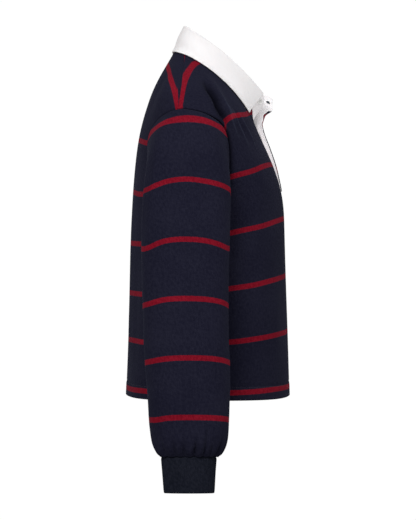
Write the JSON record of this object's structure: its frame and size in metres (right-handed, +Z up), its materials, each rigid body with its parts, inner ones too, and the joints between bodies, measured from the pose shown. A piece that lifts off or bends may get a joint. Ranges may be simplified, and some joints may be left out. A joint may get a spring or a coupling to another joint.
{
  "type": "long-sleeved rugby shirt",
  "caption": "Women's cropped long-sleeved rugby shirt, filled out with no wearer: thin stripes, white fold-down collar, open buttoned placket, gathered sleeves and ribbed cuffs.",
  "frame": {"origin": "between the neck ends of the two shoulder seams, where the wearer's shoulders hold the shirt up", "axes": "+Z up, -Y towards the shirt's front, +X towards the wearer's left sleeve"},
  "size_m": [0.6742, 0.2568, 0.7049],
  "materials": {
    "jersey": "heavy brushed cotton jersey, navy with thin red stripes",
    "rib": "navy cotton rib knit",
    "twill": "white cotton twill",
    "button": "smooth off-white"
  },
  "bodies": {
    "root": {"front": "jersey", "back": "jersey", "sleeve_left": "jersey", "sleeve_right": "jersey", "cuff_left": "rib", "cuff_right": "rib", "collar": "twill", "placket_over": "jersey", "placket_facing": "twill", "placket_under": "twill", "button_top": "button", "button_middle": "button", "button_low": "button"}
  },
  "joints": []
}
